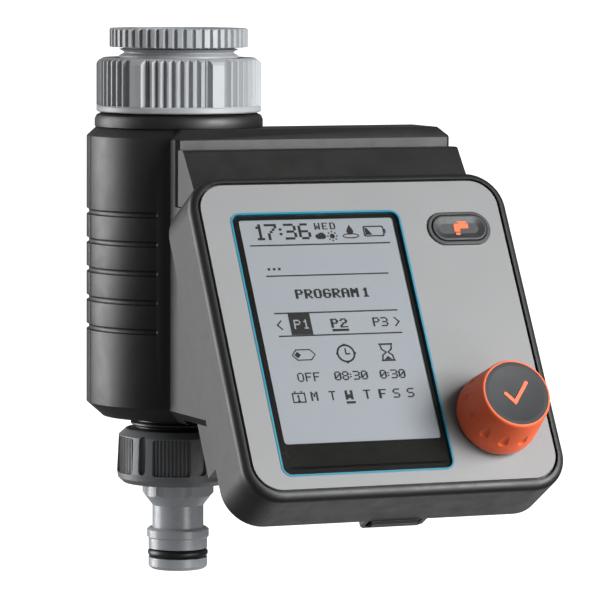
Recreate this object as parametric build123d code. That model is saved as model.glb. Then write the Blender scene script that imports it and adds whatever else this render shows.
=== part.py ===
from build123d import *
import math
import os

# Irrigation controller: a valve unit that hangs from a tap, a control unit that docks on its front,
# and a hose connector under it. Millimetres. +Z is up along the tap axis, the front faces -Y,
# and Z = 0 is the top of the tap adapter.

os.makedirs("parts", exist_ok=True)

# ---- driving dimensions ------------------------------------------------------------------------
# tap adapter and union nut
ADAPTER_RING_R = 19.2
ADAPTER_RING_H = 5.2
ADAPTER_TEETH = 48
ADAPTER_BOTTOM = -12.3
TAP_BORE_R = 12.1
TAP_BORE_END = -8.2
MALE_G1_CREST_R = 16.55
G1_PITCH = 2.309
G34_PITCH = 1.814
NUT_R = 22.8
NUT_TOP = -8.1
NUT_BOTTOM = -23.0
NUT_BORE_R = 16.9
NECK_R = 15.0
RUN_GAP = 0.08
# valve unit
BARREL_R = 25.5
BARREL_TOP = -27.1
BARREL_BOTTOM = -107.2
WALL = 2.3
DOCK_FRONT = -27.4
WING_BACK = -5.0
DOCK_LEFT = -11.4
DOCK_RIGHT = 70.2
CHEEK = 2.2
SPLIT_Y = 2.0
GRIP_TOP = -50.45
GRIP_PITCH = 7.97
GRIP_R = 0.85
# hose connector
SPIGOT_R = 13.2
SPIGOT_END = -120.0
CONN_BORE_R = 13.55
# control unit panel: plate corner, tilt and size
TILT = 29.9
PLATE_X = -13.92
PLATE_Y = -48.0
PLATE_Z = -40.97
PLATE_W = 87.0
PLATE_H = 88.3
RIM = 2.95
BEZEL_D = 17.7
SKIN = 2.0
CASE_BACK = -27.6
HOOD_TOP = -32.4
CASE_DEPTH = 42.0
# controls on the plate, from its top left corner
BUTTON_U = 73.8
BUTTON_V = 14.45
KNOB_U = 71.4
KNOB_V = 70.6
KNOB_TOP = 16.0
WINDOW = (7.7, 8.35, 57.15, 84.75)
LCD = (10.37, 10.09, 55.39, 75.3)
RIM_GAP = 0.75
# dock rails
RAIL_X = (-1.0, 61.0)
RAIL_TOP = -50.0
RAIL_END = -85.0
SLIDE_GAP = 0.3

SIN_T = math.sin(math.radians(TILT))
COS_T = math.cos(math.radians(TILT))
panel = Plane(origin=(PLATE_X, PLATE_Y, PLATE_Z), x_dir=(1, 0, 0), z_dir=(0, -COS_T, SIN_T))


# ---- helpers -----------------------------------------------------------------------------------
def save(shape, name):
    """Write one node."""
    export_step(shape, "parts/" + name + ".step")
    print(name, round(shape.volume, 1), len(shape.solids()))


def turned(points):
    """Solid of revolution about the tap axis from (radius, height) points."""
    outline = Polyline(*[(r, z) for r, z in points], close=True)
    return revolve(Plane.XZ * make_face(outline), axis=Axis.Z)


def ring(r_in, r_out, low, high):
    """Plain ring on the tap axis."""
    return turned([(r_in, low), (r_out, low), (r_out, high), (r_in, high)])


def block(x0, x1, y0, y1, z0, z1):
    """Box between two corners."""
    centre = Pos((x0 + x1) / 2, (y0 + y1) / 2, (z0 + z1) / 2)
    return centre * Box(x1 - x0, y1 - y0, z1 - z0)


def on_panel(u0, v0, u1, v1, low, high, corner=0.0):
    """Slab parallel to the plate between two heights, with rounded corners if asked."""
    if corner:
        outline = RectangleRounded(u1 - u0, v1 - v0, corner)
    else:
        outline = Rectangle(u1 - u0, v1 - v0)
    place = panel * Pos((u0 + u1) / 2, -(v0 + v1) / 2, low)
    return place * extrude(outline, high - low)


def peg(u, v, r, low, high):
    """Round peg square to the plate."""
    return panel * Pos(u, -v, (low + high) / 2) * Cylinder(r, high - low)


def pill(u, v, length, width, low, high):
    """Slab with round ends, parallel to the plate."""
    return panel * Pos(u, -v, low) * extrude(SlotOverall(length, width), high - low)


def side_point(v, h):
    """(Y, Z) of a point v down the plate and h in front of it."""
    return (PLATE_Y - SIN_T * v - COS_T * h, PLATE_Z - COS_T * v + SIN_T * h)


def side_prism(points, x0, x1):
    """Prism along X from a (Y, Z) outline."""
    outline = Polyline(*points, close=True)
    return Pos(x0, 0, 0) * extrude(Plane.YZ * make_face(outline), x1 - x0)


def polar(r, degrees):
    return (r * math.cos(math.radians(degrees)), r * math.sin(math.radians(degrees)))


def star(points, low, high):
    """Prism along the tap axis from (radius, angle) points."""
    outline = Polyline(*[polar(r, a) for r, a in points], close=True)
    return Pos(0, 0, low) * extrude(make_face(outline), high - low)


def thread_profile(crest, depth, pitch, top, bottom):
    """Outline points of a ring-grooved thread going down from top to bottom."""
    points = []
    z = top
    while z - pitch >= bottom:
        points.append((crest, z - 0.12 * pitch))
        points.append((crest - depth, z - 0.44 * pitch))
        points.append((crest - depth, z - 0.56 * pitch))
        points.append((crest, z - 0.88 * pitch))
        z -= pitch
    return points


def screw(place, head_r, head_h, shank_r, length):
    """Pan screw with a cross recess. The head's underside is at the placement, the shank goes down."""
    head = Pos(0, 0, head_h / 2) * Cylinder(head_r, head_h)
    head = chamfer(head.edges().sort_by(Axis.Z)[-1], head_h * 0.3)
    shank = Pos(0, 0, -length / 2) * Cylinder(shank_r, length)
    slot_a = Pos(0, 0, head_h) * Box(head_r * 1.2, head_r * 0.28, head_h)
    slot_b = Pos(0, 0, head_h) * Box(head_r * 0.28, head_r * 1.2, head_h)
    return place * (head + shank - slot_a - slot_b)


# ---- tap adapter -------------------------------------------------------------------------------
tooth_step = 360 / ADAPTER_TEETH
knurl = []
for i in range(ADAPTER_TEETH):
    a = i * tooth_step
    knurl.append((ADAPTER_RING_R, a))
    knurl.append((ADAPTER_RING_R, a + 0.45 * tooth_step))
    knurl.append((ADAPTER_RING_R - 0.85, a + 0.62 * tooth_step))
    knurl.append((ADAPTER_RING_R - 0.85, a + 0.83 * tooth_step))
male_g1 = thread_profile(MALE_G1_CREST_R, 1.35, G1_PITCH, -ADAPTER_RING_H - 0.3, ADAPTER_BOTTOM)
adapter = star(knurl, -ADAPTER_RING_H, 0)
adapter = adapter & turned([(0, 0), (18.9, 0), (19.3, -0.4), (19.3, -5.0), (18.9, -5.2), (0, -5.2)])
stem = [(0, -ADAPTER_RING_H + 0.1), (15.2, -ADAPTER_RING_H + 0.1), (15.2, -ADAPTER_RING_H - 0.3)]
stem += male_g1 + [(15.2, ADAPTER_BOTTOM + 0.2), (15.2, ADAPTER_BOTTOM), (0, ADAPTER_BOTTOM)]
adapter = adapter + turned(stem)
female = [(0, 0.1), (TAP_BORE_R + 0.5, 0.1), (TAP_BORE_R, -0.4)]
z = -1.0
while z - G34_PITCH > TAP_BORE_END:
    female.append((TAP_BORE_R, z))
    female.append((TAP_BORE_R + 1.0, z - 0.4 * G34_PITCH))
    female.append((TAP_BORE_R + 1.0, z - 0.5 * G34_PITCH))
    female.append((TAP_BORE_R, z - 0.9 * G34_PITCH))
    z -= G34_PITCH
female += [(TAP_BORE_R, TAP_BORE_END), (12.7, TAP_BORE_END), (12.7, -10.4), (9.0, -10.4)]
female += [(9.0, -13), (0, -13)]
adapter = adapter - turned(female)
save(adapter, "tap_adapter")
save(ring(9.2, 12.2, -10.35, -8.4), "tap_washer")

# ---- union nut ---------------------------------------------------------------------------------
VIEW_SIDE = -113.0
nut_shape = []
for k in range(6):
    lobe = VIEW_SIDE + 30 + 60 * k
    nut_shape += [(NUT_R - 1.5, lobe - 7.0), (NUT_R, lobe - 4.5), (NUT_R + 0.02, lobe), (NUT_R, lobe + 4.5)]
    nut_shape += [(NUT_R - 1.5, lobe + 7.0), (NUT_R - 1.1, lobe + 8.4)]
    for j in range(7):
        a = lobe + 9.0 + 6.0 * j
        nut_shape += [(NUT_R - 1.5, a), (NUT_R - 0.45, a + 2.4), (NUT_R - 0.45, a + 3.6)]
    nut_shape += [(NUT_R - 1.5, lobe + 51.0), (NUT_R - 1.1, lobe + 51.8)]
nut = star(nut_shape, NUT_BOTTOM + 1.7, NUT_TOP)
nut = nut & turned([(0, -24), (23, -24), (23, -10.1), (22.3, -8.9), (21.0, NUT_TOP), (0, NUT_TOP)])
flange = turned([
    (0, NUT_BOTTOM), (22.5, NUT_BOTTOM), (22.8, -22.7), (22.8, -21.6), (22.5, -21.2), (0, -21.2)])
nut = nut + flange
inside = [(0, -7), (NUT_BORE_R + 0.7, -7), (NUT_BORE_R + 0.7, NUT_TOP), (NUT_BORE_R, NUT_TOP - 0.7)]
z = NUT_TOP - 1.0
for k in range(3):
    inside += [(NUT_BORE_R, z), (NUT_BORE_R + 1.2, z - 1.0)]
    inside += [(NUT_BORE_R + 1.2, z - 1.3), (NUT_BORE_R, z - 2.2)]
    z -= G1_PITCH
inside += [(NUT_BORE_R, -19.7), (NECK_R + RUN_GAP, -19.7), (NECK_R + RUN_GAP, -24), (0, -24)]
nut = nut - turned(inside)
save(nut, "union_nut")

# ---- valve unit: water path --------------------------------------------------------------------
inlet = turned([
    (11.0, -14.6), (14.2, -14.6), (14.2, -17.0), (16.6, -17.0), (16.6, -19.4), (NECK_R, -19.4),
    (NECK_R, -29.5), (21.4, -29.5), (21.4, -31.6), (16.8, -31.6), (16.8, -62.0), (15.5, -62.0),
    (15.5, -57.0), (14.0, -57.0), (14.0, -48.0), (9.0, -46.6), (7.4, -46.0), (6.0, -46.0), (6.0, -44.0),
    (11.0, -38.0)])
save(inlet, "inlet_body")
outlet_thread = thread_profile(SPIGOT_R, 1.0, G34_PITCH, -107.6, SPIGOT_END)
outlet_out = [(14.0, -57.2), (15.4, -57.2), (15.4, -58.6), (14.6, -58.6), (14.6, -60.4), (15.4, -60.4)]
outlet_out += [(15.4, -62.0), (16.8, -62.0), (16.8, -104.8), (12.3, -104.8), (12.3, -107.6)]
outlet_out += outlet_thread + [(12.3, SPIGOT_END), (8.5, SPIGOT_END), (8.5, -104.0), (14.0, -98.0)]
save(turned(outlet_out), "outlet_body")
seal = turned([(14.62, -60.3), (15.48, -60.3), (15.48, -58.7), (14.62, -58.7)])
save(seal, "body_o_ring")
save(turned([(11.2, -14.6), (15.9, -14.6), (15.9, -12.5), (11.2, -12.5)]), "inlet_washer")

basket = turned([
    (8.2, -13.0), (11.1, -13.0), (11.1, -14.5), (8.9, -14.5), (6.4, -34.0), (0, -34.0),
    (0, -33.2), (5.6, -33.2)])
for k in range(8):
    basket = basket - Rot(0, 0, 45 * k) * block(4.0, 11.0, -1.6, 1.6, -31.5, -16.5)
save(basket, "inlet_filter")

# collar between nut and housing
collar = turned([(15.2, -27.1), (23.3, -27.1), (23.3, -25.0), (22.8, -23.9), (21.8, -23.4), (15.2, -23.4)])
save(collar, "inlet_collar")

# ---- valve unit: solenoid capsule in the water path --------------------------------------------
can = turned([(0, -97.5), (4.0, -96.8), (10.2, -91.0), (10.2, -60.8), (9.4, -60.8), (9.4, -90.5), (0, -90.5)])
for k in range(3):
    can = can + Rot(0, 0, 120 * k + 90) * block(9.9, 13.9, -1.1, 1.1, -90.0, -74.0)
save(can, "solenoid_can")
cap = turned([
    (4.1, -60.0), (10.2, -60.0), (10.2, -60.8), (9.35, -60.8), (9.35, -64.0), (5.1, -64.0),
    (5.1, -79.9), (4.1, -79.9)])
save(cap, "solenoid_cap")
bobbin = turned([
    (5.15, -64.1), (9.3, -64.1), (9.3, -65.3), (6.2, -65.3), (6.2, -88.8), (9.3, -88.8),
    (9.3, -90.0), (5.15, -90.0)])
save(bobbin, "coil_bobbin")
save(ring(6.25, 9.0, -88.7, -65.4), "solenoid_coil")
save(turned([(0, -90.4), (5.1, -90.4), (5.1, -80.0), (4.0, -80.0), (4.0, -80.9), (0, -80.9)]), "fixed_core")
rod = turned([(0, -77.9), (3.6, -77.9), (4.0, -77.5), (4.0, -50.6), (7.6, -50.6), (7.6, -48.7), (0, -48.7)])
save(rod, "valve_plunger")
save(turned([(0, -48.7), (8.2, -48.7), (8.2, -46.8), (7.6, -46.1), (0, -46.1)]), "valve_disc")
spring_path = Pos(0, 0, -59.5) * Helix(pitch=1.68, height=8.4, radius=5.6)
spring_start = Plane(origin=spring_path @ 0, z_dir=spring_path % 0)
save(sweep(spring_start * Circle(0.4), path=spring_path), "plunger_spring")

# ---- valve unit: housing -----------------------------------------------------------------------
barrel_outer = turned([
    (0, BARREL_TOP), (22.8, BARREL_TOP), (BARREL_R, -29.6), (BARREL_R, -103.3), (21.1, BARREL_BOTTOM),
    (0, BARREL_BOTTOM)])
barrel_inner = turned([
    (0, -29.4), (21.6, -29.4), (23.2, -31.0), (23.2, -102.4), (19.9, -104.9), (0, -104.9)])
throat = ring(0, NECK_R + 0.1, -30, -27) + ring(0, SPIGOT_R + 0.3, -108, -104)
grips = []
for k in range(5):
    level = GRIP_TOP - GRIP_PITCH * k
    section = Pos(25.65, level, 0) * Circle(GRIP_R)
    band = Rot(0, 0, 127) * revolve(Plane.XZ * section, axis=Axis.Z, revolution_arc=107)
    for end in (127, 234):
        x, y = polar(25.65, end)
        band = band + Pos(x, y, level) * Sphere(GRIP_R)
    grips.append(band)
parting = block(-26, -25.15, SPLIT_Y - 0.25, SPLIT_Y + 0.25, -103.3, -29.6)
parting = parting + block(25.15, 26, SPLIT_Y - 0.25, SPLIT_Y + 0.25, -103.3, -29.6)

front_half = barrel_outer & block(-40, 40, -40, SPLIT_Y, -120, -20)
dock = side_prism([
    (WING_BACK, BARREL_TOP), (DOCK_FRONT, BARREL_TOP), (DOCK_FRONT, -47.9), (-31.2, -47.9),
    side_point(66.1, -18.0), (WING_BACK, BARREL_BOTTOM)], DOCK_LEFT, DOCK_RIGHT)
top_edges = dock.faces().sort_by(Axis.Z)[-1].edges()
dock = chamfer(top_edges, 2.8)
bottom_face = dock.faces().sort_by(Axis.Z)[0]
dock = chamfer(bottom_face.edges(), 3.6)
dock = dock - block(DOCK_LEFT + CHEEK, DOCK_RIGHT - CHEEK, -80, DOCK_FRONT, -110, -30)
bay = block(DOCK_LEFT + CHEEK, DOCK_RIGHT - CHEEK, DOCK_FRONT + 2.2, WING_BACK - 2.2, -103.0, -29.9)
front = front_half + dock
front = front - bay - barrel_inner - throat
front = front - block(33, 63, -8, -4, -95, -39) - block(27.4, 68.6, -6.2, -4, -101.1, -32.9)
hatch_screws = [(30.2, -36.0), (65.8, -36.0), (30.2, -98.0), (65.8, -98.0)]
for x, z in hatch_screws:
    post = Pos(x, -10.2, z) * Rot(90, 0, 0) * Cylinder(2.6, 8.0)
    hole = Pos(x, -8.0, z) * Rot(90, 0, 0) * Cylinder(1.15, 10.5)
    front = front + post - hole
for x in RAIL_X:
    middle = (RAIL_TOP + RAIL_END) / 2
    front = front + block(x - 1.5, x + 1.5, -30.0, -27.0, RAIL_END, RAIL_TOP)
    front = front + block(x - 3.0, x + 3.0, -31.3, -29.9, RAIL_END, RAIL_TOP)
pin_x = (25.0, 35.0)
for x in pin_x:
    front = front - Pos(x, -26, -58) * Rot(90, 0, 0) * Cylinder(1.2, 6)
shell_screw_at = [(-20.0, -36.0), (20.0, -36.0), (-20.0, -98.0), (20.0, -98.0)]
rear = (barrel_outer & block(-40, 40, SPLIT_Y, 40, -120, -20)) - barrel_inner - throat
for x, z in shell_screw_at:
    post = Pos(x, 0, z) * Rot(90, 0, 0) * Cylinder(2.75, 40)
    post = post & barrel_outer
    front = front + (post & block(-40, 40, -7.5, SPLIT_Y, -120, -20))
    front = front - Pos(x, 0, z) * Rot(90, 0, 0) * Cylinder(1.15, 14.0)
    rear = rear + (post & block(-40, 40, SPLIT_Y, 40, -120, -20))
    rear = rear - Pos(x, 0, z) * Rot(90, 0, 0) * Cylinder(1.15, 24.0)
    rear = rear - Pos(x, 20, z) * Rot(90, 0, 0) * Cylinder(2.1, 24.0)
front = front - parting
rear = rear - parting
for band in grips:
    front = front - band
    rear = rear - band
for x in (DOCK_LEFT, DOCK_RIGHT):
    corner = Pos(x, DOCK_FRONT, -38.0) * Rot(0, 0, 45) * Box(1.5, 1.5, 22.0)
    front = front - (corner & block(-20, 80, -40, -20, -47.8, -20))
save(front, "valve_front_shell")
save(rear, "valve_rear_shell")
shell_screws = [screw(Pos(x, 8.0, z) * Rot(-90, 0, 0), 1.95, 1.6, 1.1, 13.5) for x, z in shell_screw_at]
save(Compound(children=shell_screws), "shell_screws")

hatch = block(27.6, 68.4, -6.2, -4.2, -100.9, -33.1)
hatch = chamfer(hatch.faces().sort_by(Axis.Y)[-1].edges(), 0.8)
for k in range(5):
    hatch = hatch - block(38, 58, -4.9, -4, -80.0 + 6 * k, -78.0 + 6 * k)
for x, z in hatch_screws:
    hatch = hatch - Pos(x, -5, z) * Rot(90, 0, 0) * Cylinder(1.2, 5)
    hatch = hatch - Pos(x, -3.3, z) * Rot(90, 0, 0) * Cylinder(2.0, 3.0)
save(hatch, "wing_hatch")
hatch_fixings = [screw(Pos(x, -4.8, z) * Rot(-90, 0, 0), 1.9, 1.3, 1.1, 7.5) for x, z in hatch_screws]
save(Compound(children=hatch_fixings), "hatch_screws")

# contacts to the control unit and leads to the coil
contact_block = block(21, 39, -25.2, -19.0, -64, -52)
for x in pin_x:
    contact_block = contact_block - Pos(x, -22, -58) * Rot(90, 0, 0) * Cylinder(1.0, 10)
save(contact_block, "contact_block")
pins = [Pos(x, -22.7, -58) * Rot(90, 0, 0) * Cylinder(0.95, 9.4) for x in pin_x]
save(Compound(children=pins), "contact_pins")
leads = []
for z, y in ((-55.5, 25.0), (-60.5, 28.0)):
    route = FilletPolyline((17.0, -4.0, z - 8), (20.0, -8.0, z - 8), (y, -13.0, z), (y, -19.0, z), radius=1.2)
    start = Plane(origin=route @ 0, z_dir=route % 0)
    leads.append(sweep(start * Circle(0.55), path=route))
save(Compound(children=leads), "coil_leads")

# ---- hose connector ----------------------------------------------------------------------------
conn = turned([
    (0, -111.0), (14.6, -111.0), (16.5, -112.7), (17.0, -122.8), (16.7, -124.6), (15.2, -126.0), (0, -126.0)])
pocket = [(18.5, -18.5), (16.3, -18.5)]
for j in range(10):
    a = -17.6 + 3.7 * j
    pocket += [(15.75, a), (15.75, a + 1.0), (16.35, a + 1.6), (16.35, a + 2.6)]
pocket += [(15.75, 18.5), (18.5, 18.5)]
panel_cut = star(pocket, -123.0, -112.9)
ends = [e for e in panel_cut.edges() if abs((e @ 0 - e @ 1).Z) < 0.01]
ends = [e for e in ends if abs(abs(math.degrees(math.atan2(e.center().Y, e.center().X))) - 18.5) < 0.01]
panel_cut = fillet(ends, 1.0)
for k in range(6):
    conn = conn - Rot(0, 0, VIEW_SIDE - 5 + 60 * k) * panel_cut
    groove = block(15.6, 18.0, -1.2, 1.2, -121.6, -113.4)
    groove = groove + Pos(16.8, 0, -121.6) * Rot(0, 90, 0) * Cylinder(1.2, 2.4)
    groove = groove + Pos(16.8, 0, -113.4) * Rot(0, 90, 0) * Cylinder(1.2, 2.4)
    conn = conn - Rot(0, 0, VIEW_SIDE + 25 + 60 * k) * groove
socket = [(0, -110), (CONN_BORE_R + 0.5, -110), (CONN_BORE_R + 0.5, -111.0), (CONN_BORE_R, -111.5)]
z = -112.0
for k in range(6):
    socket += [(CONN_BORE_R, z), (CONN_BORE_R + 0.9, z - 0.75)]
    socket += [(CONN_BORE_R + 0.9, z - 0.95), (CONN_BORE_R, z - 1.7)]
    z -= G34_PITCH
socket += [(CONN_BORE_R, -124.2), (11.0, -124.2), (11.0, -127), (0, -127)]
conn = conn - turned(socket)
save(conn, "connector_nut")
save(ring(8.2, 12.9, -122.0, -120.1), "outlet_washer")

nipple = turned([
    (7.5, -122.0), (12.9, -122.0), (12.9, -124.15), (10.92, -124.15), (10.92, -126.0), (9.2, -126.0),
    (9.2, -129.8), (7.12, -132.5), (7.12, -138.8), (8.0, -138.8), (8.63, -139.3), (8.63, -141.3),
    (8.3, -141.6), (8.19, -141.6), (8.19, -144.5), (6.05, -144.5), (6.05, -147.1), (8.19, -147.1),
    (8.19, -149.4), (7.9, -149.9), (7.3, -150.3), (5.0, -150.3), (5.0, -128.0)])
hexagon = Pos(0, 0, -129.8) * Rot(0, 0, VIEW_SIDE + 24) * extrude(RegularPolygon(10.0, 6), 4.2)
hexagon = hexagon & turned([(0, -125.6), (10.0, -125.6), (10.0, -129.0), (9.2, -129.8), (0, -129.8)])
hexagon = hexagon - Pos(0, 0, -128) * Cylinder(8.0, 8)
nipple = nipple + hexagon
save(nipple, "hose_nipple")
save(Pos(0, 0, -145.8) * Torus(7.25, 1.15), "nipple_o_ring")

# ---- control unit: bezel -----------------------------------------------------------------------
U0, V0, U1, V1 = -RIM, -RIM, PLATE_W + RIM, PLATE_H + RIM
slab = on_panel(U0, V0, U1, V1, -BEZEL_D, 0, 10.4)
bezel = on_panel(U0, V0, U1, V1, -BEZEL_D, 0, 10.4)
front_face = [f for f in bezel.faces() if abs(f.normal_at() - panel.z_dir) < 1e-6][0]
bezel = fillet(front_face.edges(), 2.05)
bezel = bezel - on_panel(U0 + SKIN, V0 + SKIN, U1 - SKIN, V1 - SKIN, -BEZEL_D - 1, -3.2, 8.4)
recess = on_panel(-RIM_GAP, -RIM_GAP, PLATE_W + RIM_GAP, PLATE_H + RIM_GAP, -1.2, 1, 7.5 + RIM_GAP)
bezel = bezel - recess
window_hole = (WINDOW[0] + 0.15, WINDOW[1] + 0.15, WINDOW[2] - 0.15, WINDOW[3] - 0.15)
bezel = bezel - on_panel(*window_hole, -4, 0, 1.6)
bezel = bezel - pill(BUTTON_U, BUTTON_V, 16.6, 8.0, -4, 0)
bezel = bezel - peg(KNOB_U, KNOB_V, 4.2, -4, 0)
case_screw_at = [(2.0, 12.0), (85.0, 12.0), (12.0, 86.8), (75.0, 86.8)]
for u, v in case_screw_at:
    bezel = bezel + (peg(u, v, 2.4, -15.6, -3.0) & slab) - peg(u, v, 0.95, -16, -7)
save(bezel, "control_bezel")

tab = on_panel(38.2, 84.8, 52.4, 91.9, -21.0, -17.9)
tab = chamfer(tab.faces().sort_by(Axis.Z)[0].edges(), 0.5)
save(tab, "release_tab")

# ---- control unit: rear cover ------------------------------------------------------------------
hood_step = (CASE_BACK - 0.9, HOOD_TOP)
hood_edge = (CASE_BACK - 4.3, HOOD_TOP)
hood_far = (hood_edge[0] - 10.07, hood_edge[1] - 12.43)
lower = side_prism([
    (CASE_BACK, HOOD_TOP), hood_edge, hood_far, side_point(66.8, -16.5), side_point(66.8, -CASE_DEPTH),
    (CASE_BACK, -89.76)], DOCK_LEFT + CHEEK + 0.25, DOCK_RIGHT - CHEEK - 0.25)
hood = side_prism([
    hood_step, hood_edge, hood_far, (-31.0, -47.6), (CASE_BACK - 0.9, -47.6)], DOCK_LEFT, DOCK_RIGHT)
rail_keep = side_prism([(-27.6, -47.6), (-33.8, -49.0), (-33.8, -100.0), (-27.6, -100.0)], -5.5, 5.5)
cover = lower + hood
ridge = [e for e in cover.edges().filter_by(Axis.X) if e.center().Z > -33 and e.center().Y < -31.5]
cover = fillet(ridge, 1.2)
cover = cover - slab
plate_back = on_panel(U0 + SKIN + 0.1, V0 + SKIN + 0.1, U1 - SKIN - 0.1, V1 - SKIN - 0.1, -BEZEL_D, -15.7, 8.3)
cover = cover + plate_back
cover_inside = side_prism([
    (-29.6, -34.4), (-30.95, -34.4), (-39.76, -45.28), side_point(64.8, -12.0),
    side_point(64.8, 2.0 - CASE_DEPTH), (-29.6, -89.2)], -6.95, 65.75)
hood_inside = side_prism([
    (-30.2, -35.0), (-31.0, -35.0), (-36.0, -41.2), (-32.0, -44.5), (-30.2, -44.5)], -9.6, 68.4)
cover = cover - cover_inside - hood_inside
guard = on_panel(36.2, 82.0, 54.4, 91.2, -22.4, -17.8)
back_ends = [e for e in guard.edges() if abs(e.length - 9.2) < 0.01 and e.center().Y > guard.center().Y]
guard = chamfer(back_ends, 1.2)
guard = guard + on_panel(36.2, 82.0, 54.4, 89.0, -17.9, -17.6)
guard = guard - on_panel(37.5, 83.0, 53.1, 92.0, -21.2, -17.75)
cover = cover + guard
for x in RAIL_X:
    cover = cover + ((Pos(x, 0, 0) * rail_keep & lower) - slab)
for x in RAIL_X:
    cover = cover - block(x - 1.8, x + 1.8, -30.0, -27.0, -100, RAIL_TOP + SLIDE_GAP)
    cover = cover - block(x - 3.3, x + 3.3, -31.6, -29.6, -100, RAIL_TOP + SLIDE_GAP)
for u, v in case_screw_at:
    cover = cover - peg(u, v, 1.15, -18, -15) - peg(u, v, 2.0, -18, -16.5)
for x in pin_x:
    cover = cover - Pos(x, -28, -58) * Rot(90, 0, 0) * Cylinder(2.2, 1.3)
cover = cover - on_panel(17.6, 34.4, 70.6, 61.1, -43.1, -39.1, 2.0)
save(cover, "control_rear_cover")
pads = [Pos(x, -28.3, -58) * Rot(90, 0, 0) * Cylinder(2.15, 0.6) for x in pin_x]
save(Compound(children=pads), "contact_pads")
case_screws = []
for u, v in case_screw_at:
    case_screws.append(screw(panel * Pos(u, -v, -16.5) * Rot(180, 0, 0), 1.85, 1.0, 0.9, 8.5))
save(Compound(children=case_screws), "case_screws")

battery_cover = on_panel(17.75, 34.55, 70.45, 60.95, -CASE_DEPTH, 2.0 - CASE_DEPTH, 1.85)
for k in range(4):
    battery_cover = battery_cover - on_panel(34, 38 + 3 * k, 54, 39.2 + 3 * k, -42.1, -41.3)
save(battery_cover, "battery_cover")
battery = on_panel(18.9, 32.2, 65.4, 58.7, -38.0, -20.5, 2.0)
for v in (39.2, 51.9):
    battery = battery + panel * Pos(66.3, -v, -29.25) * Rot(0, 90, 0) * Cylinder(3.2, 2.0)
save(battery, "battery")
save(on_panel(67.4, 32.5, 69.2, 58.4, -37.6, -20.9, 0.8), "battery_snap")

# ---- control unit: plate, display and controls -------------------------------------------------
face = on_panel(0, 0, PLATE_W, PLATE_H, -1.2, 0, 7.5)
face = face - on_panel(WINDOW[0], WINDOW[1], WINDOW[2], WINDOW[3], -2, 1, 2.8)
face = face - pill(BUTTON_U, BUTTON_V, 18.7, 9.9, -2, 1)
face = face - peg(KNOB_U, KNOB_V, 4.2, -2, 1)
save(face, "face_plate")
edge = 0.52
trim = on_panel(WINDOW[0], WINDOW[1], WINDOW[2], WINDOW[3], -1.2, 0.15, 2.8)
trim = trim - on_panel(WINDOW[0] + edge, WINDOW[1] + edge, WINDOW[2] - edge, WINDOW[3] - edge, -2, 1, 2.28)
save(trim, "window_trim")
lens_box = (WINDOW[0] + 0.55, WINDOW[1] + 0.55, WINDOW[2] - 0.55, WINDOW[3] - 0.55)
save(on_panel(*lens_box, -0.75, 0.05, 2.25), "display_lens")
mask = on_panel(*lens_box, -1.05, -0.75, 2.25)
mask = mask - on_panel(*LCD, -3, 0, 0.9)
save(mask, "display_mask")
save(on_panel(10.0, 9.7, 55.75, 75.6, -3.25, -1.1), "lcd_panel")
holder = on_panel(6.2, 7.5, 58.3, 84.3, -7.95, -3.25, 2.0)
holder = holder + on_panel(lens_box[0] + 0.1, lens_box[1] + 0.1, lens_box[2] - 0.1, 84.1, -3.3, -1.07, 2.1)
holder = holder - on_panel(9.95, 8.0, 57.5, 75.65, -3.3, 0)
holder = holder - on_panel(13.0, 12.0, 54.0, 82.0, -9, -6.0)
save(holder, "lcd_holder")
board = on_panel(5.5, 4.0, 82.0, 80.0, -9.6, -8.0, 2.0)
board = board - on_panel(28.0, 78.0, 49.0, 90.0, -10, -7)
parts_on_board = on_panel(20, 20, 32, 32, -11.0, -9.6) + on_panel(40, 40, 46, 52, -10.8, -9.6)
parts_on_board = parts_on_board + on_panel(62, 28, 70, 36, -8.0, -6.6) + on_panel(20, 60, 26, 66, -10.6, -9.6)
save(board + parts_on_board, "circuit_board")

button_ring = pill(BUTTON_U, BUTTON_V, 18.66, 9.86, -1.2, 0.55)
button_ring = fillet(button_ring.faces().sort_by(Axis.Y)[0].edges(), 0.4)
button_ring = button_ring - pill(BUTTON_U, BUTTON_V, 16.6, 8.0, -2, 2)
save(button_ring, "button_ring")
cap_body = pill(BUTTON_U, BUTTON_V, 16.1, 7.5, -5.0, 0.9)
cap_body = fillet(cap_body.faces().sort_by(Axis.Y)[0].edges(), 0.35)
brim = Pos(0, 0, 0.92) * SlotOverall(15.0, 6.4)
floor = Pos(0, 0, 0.2) * SlotOverall(11.6, 3.0)
cap_body = cap_body - panel * Pos(BUTTON_U, -BUTTON_V, 0) * loft([floor, brim])
cap_body = cap_body + pill(BUTTON_U, BUTTON_V, 18.4, 9.8, -5.0, -3.9)
icon_at = panel * Pos(BUTTON_U + 0.45, -BUTTON_V + 0.2, 0.12)
icon = icon_at * (Pos(0.48, 0.43, 0) * Box(3.65, 1.45, 0.6) + Pos(-1.32, 0.43, 0) * Cylinder(0.725, 0.6))
icon = icon + icon_at * (Pos(-1.17, -0.5, 0) * Box(1.75, 1.4, 0.6) + Pos(0.65, 1.2, 0) * Box(1.7, 0.5, 0.6))
icon = icon + icon_at * (Pos(0.6, 1.78, 0) * Box(2.6, 0.85, 0.6) + Pos(-1.1, -1.9, 0) * Box(1.3, 0.65, 0.6))
save(icon, "button_icon")
save(cap_body - icon, "button_cap")
save(on_panel(BUTTON_U - 3, BUTTON_V - 3, BUTTON_U + 3, BUTTON_V + 3, -8.0, -6.1), "button_switch")

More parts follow.
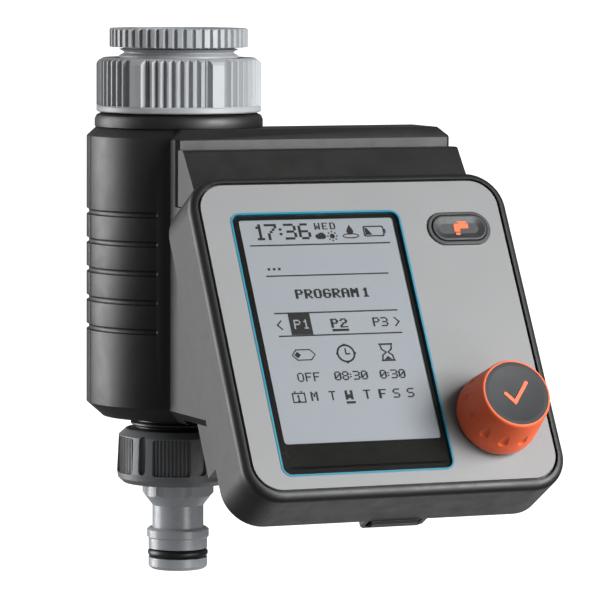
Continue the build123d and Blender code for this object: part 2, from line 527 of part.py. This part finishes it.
encoder = on_panel(KNOB_U - 6, KNOB_V - 6, KNOB_U + 6, KNOB_V + 6, -8.0, -3.3)
encoder = encoder + peg(KNOB_U, KNOB_V, 4.0, -3.4, 0.0) - peg(KNOB_U, KNOB_V, 3.04, -7.4, 1)
save(encoder, "encoder_body")
save(peg(KNOB_U, KNOB_V, 3.0, -6.6, 12.0), "encoder_shaft")
knob_axis = panel * Pos(KNOB_U, -KNOB_V, 0)
profile = Polyline(
    (0, 0.8), (10.7, 0.8), (11.2, 1.2), (11.45, 2.2), (11.5, 3.2), (11.4, 4.6), (11.1, 6.2),
    (9.75, 15.3), (9.55, 15.8), (9.3, KNOB_TOP), (0, KNOB_TOP), close=True)
knob = revolve(Plane.XZ * make_face(profile), axis=Axis.Z)
knob = knob - Pos(0, 0, KNOB_TOP) * Cylinder(9.05, 2.8)
knob = knob - Pos(0, 0, 6.5) * Cylinder(3.07, 11.6)
knob = knob - (Pos(0, 0, 6.0) * Cylinder(7.6, 11.0) - Pos(0, 0, 6.0) * Cylinder(5.0, 12.0))
for k in range(12):
    scoop = Pos(12.5, 0, 9.8) * Cylinder(2.1, 4.4) + Pos(12.5, 0, 7.6) * Sphere(2.1)
    knob = knob - Rot(0, 0, 30 * k + 15) * scoop
save(knob_axis * knob, "rotary_knob")
check_line = Polyline((-3.05, 0.15), (-0.8, -2.4), (3.5, 3.05))
tick = trace(check_line, 1.0) + Pos(-3.05, 0.15) * Circle(0.5) + Pos(3.5, 3.05) * Circle(0.5)
mark = Pos(0, 0, KNOB_TOP - 0.8) * extrude(tick, 0.52)
knob_cap = Pos(0, 0, KNOB_TOP - 0.75) * Cylinder(9.0, 1.3)
knob_cap = knob_cap - Pos(0, 0, KNOB_TOP - 0.5 + 80) * Sphere(80)
save(knob_axis * (knob_cap - mark), "knob_cap")
save(knob_axis * mark, "knob_check_mark")
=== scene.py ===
import bpy
import bmesh
import math
import re
from mathutils import Matrix, Vector


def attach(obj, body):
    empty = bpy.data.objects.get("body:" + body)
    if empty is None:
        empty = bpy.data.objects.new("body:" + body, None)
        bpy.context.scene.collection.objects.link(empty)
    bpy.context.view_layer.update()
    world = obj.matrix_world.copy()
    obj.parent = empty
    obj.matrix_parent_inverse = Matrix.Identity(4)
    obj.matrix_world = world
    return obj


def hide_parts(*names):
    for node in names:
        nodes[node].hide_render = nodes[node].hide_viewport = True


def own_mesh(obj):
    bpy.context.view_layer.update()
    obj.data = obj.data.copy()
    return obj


# Looks for the irrigation controller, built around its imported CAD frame. Metres.

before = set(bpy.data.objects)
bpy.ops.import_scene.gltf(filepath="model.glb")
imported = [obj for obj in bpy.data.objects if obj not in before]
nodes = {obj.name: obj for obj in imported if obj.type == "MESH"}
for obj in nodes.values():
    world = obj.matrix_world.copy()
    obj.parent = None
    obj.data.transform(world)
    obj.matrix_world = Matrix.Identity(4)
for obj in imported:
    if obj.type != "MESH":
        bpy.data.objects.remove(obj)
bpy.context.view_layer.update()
MM = 0.001

# ---- the plate's own frame: u to the right, v down the plate, h out of it ----------------------
TILT = math.radians(29.9)
SIN_T, COS_T = math.sin(TILT), math.cos(TILT)
PLATE_CORNER = Vector((-13.92, -48.0, -40.97)) * MM
OUT = Vector((0, -COS_T, SIN_T))
UP = Vector((0, SIN_T, COS_T))
RIGHT = Vector((1, 0, 0))


def on_plate(u, v, h):
    """Point u right of, v below and h in front of the plate's top left corner, in mm."""
    return PLATE_CORNER + (RIGHT * u - UP * v + OUT * h) * MM


# ---- camera ------------------------------------------------------------------------------------
VIEW_AZ = math.radians(23.08)
VIEW_EL = math.radians(4.62)
ROLL = math.radians(0.245)
DISTANCE = 1.23876
LENS = 264.5
AIM = Vector((36.72, 0.0, -76.43)) * MM
back = Vector((
    -math.sin(VIEW_AZ) * math.cos(VIEW_EL),
    -math.cos(VIEW_AZ) * math.cos(VIEW_EL),
    math.sin(VIEW_EL)))
side = Vector((math.cos(VIEW_AZ), -math.sin(VIEW_AZ), 0))
top = back.cross(side)
cam_x = side * math.cos(ROLL) + top * math.sin(ROLL)
cam_y = top * math.cos(ROLL) - side * math.sin(ROLL)
camera = bpy.data.objects.new("camera", bpy.data.cameras.new("camera"))
bpy.context.scene.collection.objects.link(camera)
camera.data.lens = LENS
camera.data.sensor_width = 36.0
camera.data.clip_end = 20.0
turn = Matrix((cam_x, cam_y, back)).transposed().to_4x4()
camera.matrix_world = Matrix.Translation(AIM + back * DISTANCE) @ turn
bpy.context.scene.camera = camera
bpy.context.scene.view_settings.view_transform = "Standard"


# ---- material helpers --------------------------------------------------------------------------
GRAIN_DEPTH = 0.00002
DRAWN_DEPTH = 0.00001


def new_material(name):
    mat = bpy.data.materials.new(name)
    mat.use_nodes = True
    return mat, mat.node_tree.nodes, mat.node_tree.links, mat.node_tree.nodes["Principled BSDF"]


def noise(nodes_, links, coords, scale, detail=2.0, rough=0.5):
    n = nodes_.new("ShaderNodeTexNoise")
    n.inputs["Scale"].default_value = scale
    n.inputs["Detail"].default_value = detail
    n.inputs["Roughness"].default_value = rough
    links.new(coords, n.inputs["Vector"])
    return n.outputs["Fac"]


def ranged(nodes_, links, value, low, high, start=0.3, stop=0.7):
    n = nodes_.new("ShaderNodeMapRange")
    n.inputs["From Min"].default_value = start
    n.inputs["From Max"].default_value = stop
    n.inputs["To Min"].default_value = low
    n.inputs["To Max"].default_value = high
    links.new(value, n.inputs["Value"])
    return n.outputs["Result"]


def mixed(nodes_, links, fac, dark, light):
    n = nodes_.new("ShaderNodeMix")
    n.data_type = "RGBA"
    n.inputs["A"].default_value = (*dark, 1)
    n.inputs["B"].default_value = (*light, 1)
    links.new(fac, n.inputs["Factor"])
    return n.outputs["Result"]


def moulded(name, dark, light, rough, grain=2600.0, bump=0.05, spread=0.06, tone=55.0, gloss=0.5):
    """Moulded plastic or rubber: slow tone changes, a fine spark texture and roughness that varies."""
    mat, n, l, bsdf = new_material(name)
    coords = n.new("ShaderNodeTexCoord").outputs["Object"]
    slow = noise(n, l, coords, tone, 4.0, 0.6)
    fine = noise(n, l, coords, grain, 3.0, 0.7)
    l.new(mixed(n, l, ranged(n, l, slow, 0.0, 1.0), dark, light), bsdf.inputs["Base Color"])
    patches = noise(n, l, coords, tone * 3.0, 5.0, 0.7)
    l.new(ranged(n, l, patches, rough - spread, rough + spread), bsdf.inputs["Roughness"])
    bsdf.inputs["Specular IOR Level"].default_value = gloss
    b = n.new("ShaderNodeBump")
    b.inputs["Strength"].default_value = bump
    b.inputs["Distance"].default_value = GRAIN_DEPTH
    l.new(fine, b.inputs["Height"])
    l.new(b.outputs["Normal"], bsdf.inputs["Normal"])
    return mat


def metal(name, dark, light, rough, stretch=(1, 1, 1), bump=0.05):
    """Metal with fine drawn or turned marks."""
    mat, n, l, bsdf = new_material(name)
    coords = n.new("ShaderNodeTexCoord").outputs["Object"]
    m = n.new("ShaderNodeMapping")
    m.inputs["Scale"].default_value = stretch
    l.new(coords, m.inputs["Vector"])
    marks = noise(n, l, m.outputs["Vector"], 900.0, 3.0, 0.7)
    l.new(mixed(n, l, ranged(n, l, marks, 0.0, 1.0), dark, light), bsdf.inputs["Base Color"])
    l.new(ranged(n, l, marks, rough - 0.05, rough + 0.08), bsdf.inputs["Roughness"])
    bsdf.inputs["Metallic"].default_value = 1.0
    b = n.new("ShaderNodeBump")
    b.inputs["Strength"].default_value = bump
    b.inputs["Distance"].default_value = DRAWN_DEPTH
    l.new(marks, b.inputs["Height"])
    l.new(b.outputs["Normal"], bsdf.inputs["Normal"])
    return mat


housing = moulded(
    "housing_plastic", (0.0052, 0.0050, 0.0046), (0.0075, 0.0072, 0.0068),
    0.46, grain=3000, bump=0.18, gloss=0.5)
core = moulded("core_plastic", (0.012, 0.012, 0.012), (0.02, 0.02, 0.02), 0.38, grain=2200, bump=0.08)
nut_grey = moulded(
    "nut_plastic", (0.275, 0.287, 0.300), (0.310, 0.322, 0.335),
    0.42, grain=2600, bump=0.05)
connector_grey = moulded(
    "connector_plastic", (0.135, 0.140, 0.146), (0.165, 0.170, 0.176),
    0.38, grain=2600, bump=0.06)
nipple_grey = moulded(
    "nipple_plastic", (0.33, 0.347, 0.368), (0.38, 0.397, 0.418),
    0.30, grain=2600, bump=0.03)
rubber = moulded(
    "seal_rubber", (0.008, 0.008, 0.008), (0.014, 0.014, 0.014),
    0.38, grain=1500, bump=0.05)
filter_mat = moulded("filter_plastic", (0.5, 0.5, 0.49), (0.58, 0.58, 0.56), 0.5)
nylon = moulded("natural_nylon", (0.62, 0.62, 0.58), (0.7, 0.7, 0.66), 0.45)
plate_mat = moulded(
    "silver_paint", (0.188, 0.193, 0.195), (0.202, 0.207, 0.209),
    0.40, grain=5200, bump=0.10, tone=25.0, spread=0.03)
trim_mat = moulded("trim_plastic", (0.001, 0.150, 0.225), (0.001, 0.170, 0.255), 0.35, bump=0.02)
mask_mat = moulded(
    "printed_black", (0.005, 0.005, 0.0045), (0.007, 0.007, 0.006),
    0.25, bump=0.02, spread=0.03, gloss=0.15)
lcd_mat = moulded(
    "lcd_surface", (0.222, 0.246, 0.266), (0.236, 0.260, 0.280),
    0.45, bump=0.01, tone=18.0, spread=0.02)
board_mat = moulded("solder_resist", (0.01, 0.09, 0.035), (0.02, 0.13, 0.05), 0.35, bump=0.05)
control_dark = moulded(
    "control_plastic", (0.024, 0.025, 0.026), (0.031, 0.032, 0.034),
    0.52, grain=3600, bump=0.16)
knob_disc = moulded(
    "knob_disc_plastic", (0.020, 0.021, 0.022), (0.027, 0.028, 0.030),
    0.5, grain=3600, bump=0.16, gloss=0.28)
orange = moulded(
    "accent_plastic", (0.80, 0.115, 0.032), (0.87, 0.135, 0.04),
    0.5, grain=3000, bump=0.06, tone=40.0)
steel = metal("stainless", (0.5, 0.5, 0.52), (0.66, 0.66, 0.68), 0.3)
copper = metal("copper_winding", (0.6, 0.24, 0.11), (0.8, 0.38, 0.2), 0.32, stretch=(1, 1, 6))
brass = metal("contact_plating", (0.75, 0.58, 0.24), (0.88, 0.7, 0.34), 0.25)
lead = moulded("lead_sleeve", (0.4, 0.02, 0.02), (0.5, 0.04, 0.03), 0.45)
battery_mat = moulded("battery_wrap", (0.05, 0.05, 0.055), (0.08, 0.08, 0.085), 0.3, bump=0.02)

lens, ln, ll, lens_bsdf = new_material("lens_clear")
lens_coords = ln.new("ShaderNodeTexCoord").outputs["Object"]
ll.new(ranged(ln, ll, noise(ln, ll, lens_coords, 90.0), 0.03, 0.06), lens_bsdf.inputs["Roughness"])
lens_bsdf.inputs["Base Color"].default_value = (0.02, 0.021, 0.022, 1)
lens_bsdf.inputs["Alpha"].default_value = 0.05

paint = {
    "valve_front_shell": housing, "valve_rear_shell": housing, "wing_hatch": housing,
    "inlet_collar": housing, "control_bezel": housing, "control_rear_cover": housing,
    "battery_cover": housing, "release_tab": housing, "battery_snap": housing, "inlet_body": core,
    "outlet_body": core, "solenoid_can": core, "solenoid_cap": core, "body_o_ring": rubber,
    "inlet_washer": rubber, "valve_disc": rubber, "tap_washer": rubber, "nipple_o_ring": rubber,
    "outlet_washer": rubber, "inlet_filter": filter_mat, "coil_bobbin": nylon, "contact_block": nylon,
    "lcd_holder": nylon, "encoder_shaft": nylon, "solenoid_coil": copper, "fixed_core": steel,
    "plunger_spring": steel, "valve_plunger": steel, "shell_screws": steel, "hatch_screws": steel,
    "case_screws": steel, "contact_pins": brass, "contact_pads": brass, "coil_leads": lead,
    "union_nut": nut_grey, "tap_adapter": nut_grey, "connector_nut": connector_grey,
    "hose_nipple": nipple_grey, "battery": battery_mat, "face_plate": plate_mat,
    "window_trim": trim_mat, "display_lens": lens, "display_mask": mask_mat, "lcd_panel": lcd_mat,
    "circuit_board": board_mat, "button_ring": control_dark, "button_switch": control_dark,
    "encoder_body": control_dark, "button_cap": control_dark, "knob_cap": knob_disc,
    "button_icon": orange, "rotary_knob": orange, "knob_check_mark": orange,
}
for name, mat in paint.items():
    node = nodes[name]
    node.data.materials.clear()
    node.data.materials.append(mat)

# ---- soft edges on the moulded parts -----------------------------------------------------------
SAME_POINT = 0.000002
SHARP = math.radians(34)


def soften(name, width):
    """Small rounds of this width in mm along a part's sharp edges."""
    node = nodes[name]
    weld = node.modifiers.new("weld", "WELD")
    weld.merge_threshold = SAME_POINT
    bevel = node.modifiers.new("soft_edges", "BEVEL")
    bevel.width = width * MM
    bevel.segments = 2
    bevel.limit_method = "ANGLE"
    bevel.angle_limit = SHARP
    bevel.use_clamp_overlap = True


for name in ("valve_front_shell", "valve_rear_shell", "control_rear_cover"):
    soften(name, 0.3)
soften("inlet_collar", 0.2)

# ---- what the display shows: generic clock, tabs and weekday marks, as thin closed prisms -------
GLYPHS = {
    "0": "01110/10001/10011/10101/11001/10001/01110", "1": "00100/01100/00100/00100/00100/00100/01110",
    "2": "01110/10001/00001/00110/01000/10000/11111", "3": "11110/00001/00001/01110/00001/00001/11110",
    "6": "01110/10000/10000/11110/10001/10001/01110", "7": "11111/00001/00010/00100/01000/01000/01000",
    "8": "01110/10001/10001/01110/10001/10001/01110", ":": "0/0/1/0/1/0/0",
    "A": "01110/10001/10001/11111/10001/10001/10001", "D": "11110/10001/10001/10001/10001/10001/11110",
    "E": "11111/10000/10000/11110/10000/10000/11111", "F": "11111/10000/10000/11110/10000/10000/10000",
    "G": "01110/10001/10000/10111/10001/10001/01110", "M": "10001/11011/10101/10101/10001/10001/10001",
    "O": "01110/10001/10001/10001/10001/10001/01110", "P": "11110/10001/10001/11110/10000/10000/10000",
    "R": "11110/10001/10001/11110/10100/10010/10001", "S": "01111/10000/10000/01110/00001/00001/11110",
    "T": "11111/00100/00100/00100/00100/00100/00100", "W": "10001/10001/10001/10101/10101/11011/10001",
}
ORIGIN_U, ORIGIN_V = 10.2, 10.32
INK = (-1.12, -1.06)
PALE_INK = (-1.09, -1.04)


class Marks:
    """Collects flat prisms on the display, in mm from its top left corner."""

    NARROW = 0.45
    FILL = 0.97

    def __init__(self, levels):
        self.bm = bmesh.new()
        self.low, self.high = levels

    def loop(self, points, level):
        """Vertices of an outline at one level."""
        return [self.bm.verts.new(on_plate(ORIGIN_U + x, ORIGIN_V + y, level)) for x, y in points]

    def shape(self, points):
        """Prism of a simple outline."""
        back = self.loop(points, self.low)
        front = self.loop(points, self.high)
        self.bm.faces.new(front)
        self.bm.faces.new(back[::-1])
        for i in range(len(points)):
            j = (i + 1) % len(points)
            self.bm.faces.new((back[i], back[j], front[j], front[i]))

    def bar(self, x0, y0, x1, y1):
        """Prism of an upright rectangle."""
        self.shape([(x0, y0), (x1, y0), (x1, y1), (x0, y1)])

    def band(self, outer, inner):
        """Closed frame between two outlines of the same number of points."""
        back_out, back_in = self.loop(outer, self.low), self.loop(inner, self.low)
        front_out, front_in = self.loop(outer, self.high), self.loop(inner, self.high)
        for i in range(len(outer)):
            j = (i + 1) % len(outer)
            self.bm.faces.new((front_out[i], front_out[j], front_in[j], front_in[i]))
            self.bm.faces.new((back_out[j], back_out[i], back_in[i], back_in[j]))
            self.bm.faces.new((back_out[i], back_out[j], front_out[j], front_out[i]))
            self.bm.faces.new((back_in[j], back_in[i], front_in[i], front_in[j]))

    def outline(self, points, width):
        """Frame of even width inside a convex outline, drawn about its middle."""
        cx = sum(x for x, y in points) / len(points)
        cy = sum(y for x, y in points) / len(points)
        shrink_x = 1 - width / max(abs(x - cx) for x, y in points)
        shrink_y = 1 - width / max(abs(y - cy) for x, y in points)
        self.band(points, [(cx + (x - cx) * shrink_x, cy + (y - cy) * shrink_y) for x, y in points])

    def text(self, x, y, words, pixel, step, bold=0.0):
        """Dot matrix text: top left corner, pixel size, advance and extra stroke width in pixels."""
        for letter in words:
            rows = GLYPHS[letter].split("/")
            for j, row in enumerate(rows):
                edge = y + j * pixel
                for run in re.finditer("1+", row):
                    self.bar(
                        x + run.start() * pixel, edge,
                        x + (run.end() + bold) * pixel, edge + pixel * self.FILL)
            x += step if len(rows[0]) > 1 else step * self.NARROW

    def piece(self, name, mat):
        """The collected prisms as one piece on the control unit."""
        mesh = bpy.data.meshes.new(name)
        bmesh.ops.recalc_face_normals(self.bm, faces=self.bm.faces)
        self.bm.to_mesh(mesh)
        self.bm.free()
        mesh.materials.append(mat)
        obj = bpy.data.objects.new(name, mesh)
        bpy.context.scene.collection.objects.link(obj)
        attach(obj, "control_unit")
        return obj


def circle(cx, cy, rx, ry, count, start=0.0):
    """Points of an ellipse."""
    angles = [2 * math.pi * i / count + start for i in range(count)]
    return [(cx + rx * math.cos(a), cy + ry * math.sin(a)) for a in angles]


ink = Marks(INK)

# top line: clock, weekday, cloud, sun, drop and battery
for x, digit in ((4.1, "1"), (7.3, "7"), (11.4, ":"), (12.85, "3"), (16.95, "6")):
    ink.text(x, 0.9, digit, 0.68, 4.0, 0.15)
ink.text(21.8, 0.85, "WED", 0.29, 2.25, 0.6)
ink.shape([
    (21.7, 5.3), (21.5, 4.8), (21.9, 4.3), (22.5, 4.2), (23.0, 3.8), (23.8, 3.75),
    (24.3, 4.2), (24.7, 4.8), (24.5, 5.4), (24.0, 5.7), (22.2, 5.7)])
SUN_X, SUN_Y = 26.5, 4.9
ink.shape(circle(SUN_X, SUN_Y, 0.75, 0.75, 12))
for k in range(8):
    a = k * math.pi / 4
    ink.shape(circle(SUN_X + 1.3 * math.cos(a), SUN_Y + 1.3 * math.sin(a), 0.3, 0.3, 4, math.pi / 4))
ink.shape([
    (31.9, 1.6), (32.6, 2.8), (32.95, 3.6), (32.6, 4.3), (31.9, 4.6), (31.2, 4.3), (30.85, 3.6), (31.2, 2.8)])
ink.outline(circle(31.9, 4.95, 2.45, 0.78, 24), 0.34)
ink.outline([
    (36.2, 2.1), (41.5, 2.1), (41.9, 2.5), (41.9, 4.9),
    (41.5, 5.3), (36.2, 5.3), (35.8, 4.9), (35.8, 2.5)], 0.36)
ink.bar(41.95, 3.1, 42.35, 4.3)
ink.shape([(36.3, 2.7), (36.9, 2.7), (38.3, 4.75), (36.3, 4.75)])

# rules, dots and heading
for x0, x1, y in ((2.2, 43.0, 7.05), (5.0, 40.5, 16.1), (5.0, 40.7, 27.05), (5.0, 40.7, 33.7)):
    ink.bar(x0, y, x1, y + 0.38)
for x in (5.8, 7.3, 8.8):
    ink.bar(x, 13.9, x + 0.72, 14.6)
ink.text(12.2, 20.4, "PROGRAM", 0.39, 2.67, 0.95)
ink.text(31.5, 20.4, "1", 0.39, 2.6, 0.95)

# tabs between two arrows
ink.bar(8.8, 27.4, 15.0, 33.65)
ink.shape([(6.4, 29.2), (6.7, 29.4), (5.55, 30.65), (6.7, 31.9), (6.4, 32.1), (5.0, 30.65)])
ink.shape([(39.3, 29.2), (39.0, 29.4), (40.15, 30.65), (39.0, 31.9), (39.3, 32.1), (40.7, 30.65)])
ink.text(20.6, 29.25, "P2", 0.38, 2.6, 0.95)
ink.bar(20.7, 32.25, 25.5, 32.95)
ink.text(32.8, 29.25, "P3", 0.38, 2.4, 0.35)

# switch, clock face and sand glass, with their values
ink.outline([(8.9, 37.8), (13.0, 37.8), (14.4, 39.45), (13.0, 41.1), (8.9, 41.1), (7.5, 39.45)], 0.32)
ink.shape([(9.2, 38.5), (10.15, 39.45), (9.2, 40.4), (8.25, 39.45)])
ink.outline(circle(23.1, 39.45, 2.65, 2.65, 32), 0.52)
ink.bar(22.9, 37.9, 23.3, 39.8)
ink.bar(23.3, 39.4, 24.3, 39.8)
for x, y in ((20.3, 39.15), (25.4, 39.15), (22.8, 36.65), (22.8, 41.75)):
    ink.bar(x, y, x + 0.6, y + 0.6)
ink.bar(33.0, 36.9, 37.0, 37.4)
ink.bar(33.0, 41.6, 37.0, 42.1)
ink.shape([
    (33.2, 37.45), (33.6, 37.45), (33.8, 38.5), (35.1, 39.5), (33.8, 40.5),
    (33.6, 41.55), (33.2, 41.55), (33.35, 40.3), (34.5, 39.5), (33.35, 38.7)])
ink.shape([
    (36.8, 37.45), (36.4, 37.45), (36.2, 38.5), (35.15, 39.4), (35.15, 39.6), (36.2, 40.5),
    (36.4, 41.55), (36.8, 41.55), (36.65, 40.3), (35.6, 39.5), (36.65, 38.7)])
ink.shape([(33.95, 41.55), (35.0, 40.6), (36.05, 41.55)])
ink.text(7.8, 44.6, "OFF", 0.37, 2.3, 0.1)
ink.text(18.4, 44.6, "08:30", 0.37, 2.22, 0.35)
ink.text(31.5, 44.6, "0:30", 0.37, 2.22, 0.4)

# bottom line: calendar sheet and weekdays
ink.outline([(5.2, 50.3), (9.0, 50.3), (9.0, 53.2), (5.2, 53.2)], 0.36)
ink.bar(6.0, 49.8, 6.4, 50.25)
ink.bar(7.8, 49.8, 8.2, 50.25)
ink.text(6.25, 50.95, "1", 0.27, 2.0, 0.5)
for x, letter, bold in (
        (10.5, "M", 0.3), (15.7, "T", 0.1), (20.3, "W", 0.9), (25.6, "T", 0.4),
        (30.0, "F", 0.95), (34.1, "S", 0.35), (38.2, "S", 0.4)):
    ink.text(x, 50.15, letter, 0.38, 2.4, bold)
ink.bar(20.3, 53.3, 22.95, 53.95)

ink_mat = moulded(
    "display_ink", (0.008, 0.0075, 0.0075), (0.012, 0.0115, 0.0115), 0.5, bump=0.01, gloss=0.2)
ink.piece("display_marks", ink_mat)
pale = Marks(PALE_INK)
pale.text(10.0, 29.25, "P1", 0.38, 2.5)
pale.piece("display_pale_marks", lcd_mat)

# ---- plunger spring: a rigid coil riding with the valve unit ------------------------------------
COIL_LOW, COIL_HEIGHT, COIL_RADIUS, COIL_TURNS, WIRE_RADIUS = -59.5, 8.4, 5.6, 5, 0.4


def coil_spring(name, mat):
    """Round wire wound on the tap's axis, closed at both cut ends."""
    steps, around = COIL_TURNS * 28, 14
    slope = COIL_HEIGHT / (2 * math.pi * COIL_TURNS)
    bm = bmesh.new()
    rings = []
    for i in range(steps + 1):
        share = i / steps
        a = 2 * math.pi * COIL_TURNS * share
        outward = Vector((math.cos(a), math.sin(a), 0))
        along = Vector((-COIL_RADIUS * math.sin(a), COIL_RADIUS * math.cos(a), slope)).normalized()
        across = along.cross(outward)
        centre = outward * COIL_RADIUS + Vector((0, 0, COIL_LOW + COIL_HEIGHT * share))
        angles = [2 * math.pi * k / around for k in range(around)]
        rings.append([
            bm.verts.new((centre + (outward * math.cos(b) + across * math.sin(b)) * WIRE_RADIUS) * MM)
            for b in angles])
    for low, high in zip(rings, rings[1:]):
        for k in range(around):
            bm.faces.new((low[k], low[(k + 1) % around], high[(k + 1) % around], high[k]))
    bm.faces.new(rings[0])
    bm.faces.new(rings[-1])
    bmesh.ops.recalc_face_normals(bm, faces=bm.faces)
    mesh = bpy.data.meshes.new(name)
    bm.to_mesh(mesh)
    bm.free()
    for polygon in mesh.polygons:
        polygon.use_smooth = len(polygon.vertices) == 4
    mesh.materials.append(mat)
    obj = bpy.data.objects.new(name, mesh)
    bpy.context.scene.collection.objects.link(obj)
    return obj


spring = coil_spring("valve_spring", steel)
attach(spring, "valve_unit")
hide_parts("plunger_spring")
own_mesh(spring)

# ---- studio ------------------------------------------------------------------------------------
world = bpy.data.worlds.new("studio")
bpy.context.scene.world = world
world.use_nodes = True
world.node_tree.nodes["Background"].inputs["Color"].default_value = (1.0, 1.0, 1.0, 1)
world.node_tree.nodes["Background"].inputs["Strength"].default_value = 0.16


def sweep_backdrop(floor_z, wall, radius, height):
    """Seamless round backdrop in metres: a pale floor that rises into a wall on every side."""
    bm = bmesh.new()
    profile = [(0.02, floor_z), (wall - radius, floor_z)]
    for k in range(1, 13):
        a = math.radians(90 * k / 12)
        profile.append((wall - radius + radius * math.sin(a), floor_z + radius * (1 - math.cos(a))))
    profile.append((wall, height))
    count = 64
    rings = []
    for r, z in profile:
        angles = [2 * math.pi * i / count for i in range(count)]
        rings.append([bm.verts.new((r * math.cos(t), r * math.sin(t), z)) for t in angles])
    for low, high in zip(rings, rings[1:]):
        for i in range(count):
            bm.faces.new((low[i], low[(i + 1) % count], high[(i + 1) % count], high[i]))
    bm.faces.new(rings[0])
    mesh = bpy.data.meshes.new("backdrop")
    bm.to_mesh(mesh)
    bm.free()
    for p in mesh.polygons:
        p.use_smooth = True
    obj = bpy.data.objects.new("backdrop", mesh)
    bpy.context.scene.collection.objects.link(obj)
    return obj


backdrop = sweep_backdrop(floor_z=-1.3, wall=3.6, radius=0.8, height=6.0)
paper, pn, pl, paper_bsdf = new_material("backdrop_paper")
paper_coords = pn.new("ShaderNodeTexCoord").outputs["Object"]
paper_tone = mixed(pn, pl, noise(pn, pl, paper_coords, 3.0), (0.93, 0.93, 0.93), (0.97, 0.97, 0.97))
pl.new(paper_tone, paper_bsdf.inputs["Base Color"])
paper_bsdf.inputs["Roughness"].default_value = 0.9
paper_bsdf.inputs["Emission Color"].default_value = (1, 1, 1, 1)
paper_bsdf.inputs["Emission Strength"].default_value = 1.0
backdrop.data.materials.append(paper)
backdrop.visible_diffuse = False
backdrop.visible_glossy = False
backdrop.visible_shadow = False

HEART = Vector((0.03, -0.03, -0.075))


def softbox(name, place, width, height, power):
    """Rectangular light aimed at the object's middle."""
    data = bpy.data.lights.new(name, "AREA")
    data.shape = "RECTANGLE"
    data.size = width
    data.size_y = height
    data.energy = power
    obj = bpy.data.objects.new(name, data)
    bpy.context.scene.collection.objects.link(obj)
    obj.location = place
    aim = HEART - place
    obj.rotation_euler = aim.to_track_quat("-Z", "Y").to_euler()
    return obj


def from_heart(azimuth, elevation, distance):
    """Place seen from the object's middle at this azimuth from +X and this elevation."""
    az, el = math.radians(azimuth), math.radians(elevation)
    direction = Vector((math.cos(az) * math.cos(el), math.sin(az) * math.cos(el), math.sin(el)))
    return HEART + direction * distance


softbox("edge_left", from_heart(142, 6, 1.4), 0.9, 1.3, 27)
softbox("key_right", from_heart(305, 20, 1.5), 0.8, 0.8, 42)
softbox("front_fill", from_heart(288, -8, 1.8), 0.7, 0.9, 10)
softbox("floor_bounce", from_heart(54, -48, 1.2), 0.9, 0.9, 1.7)
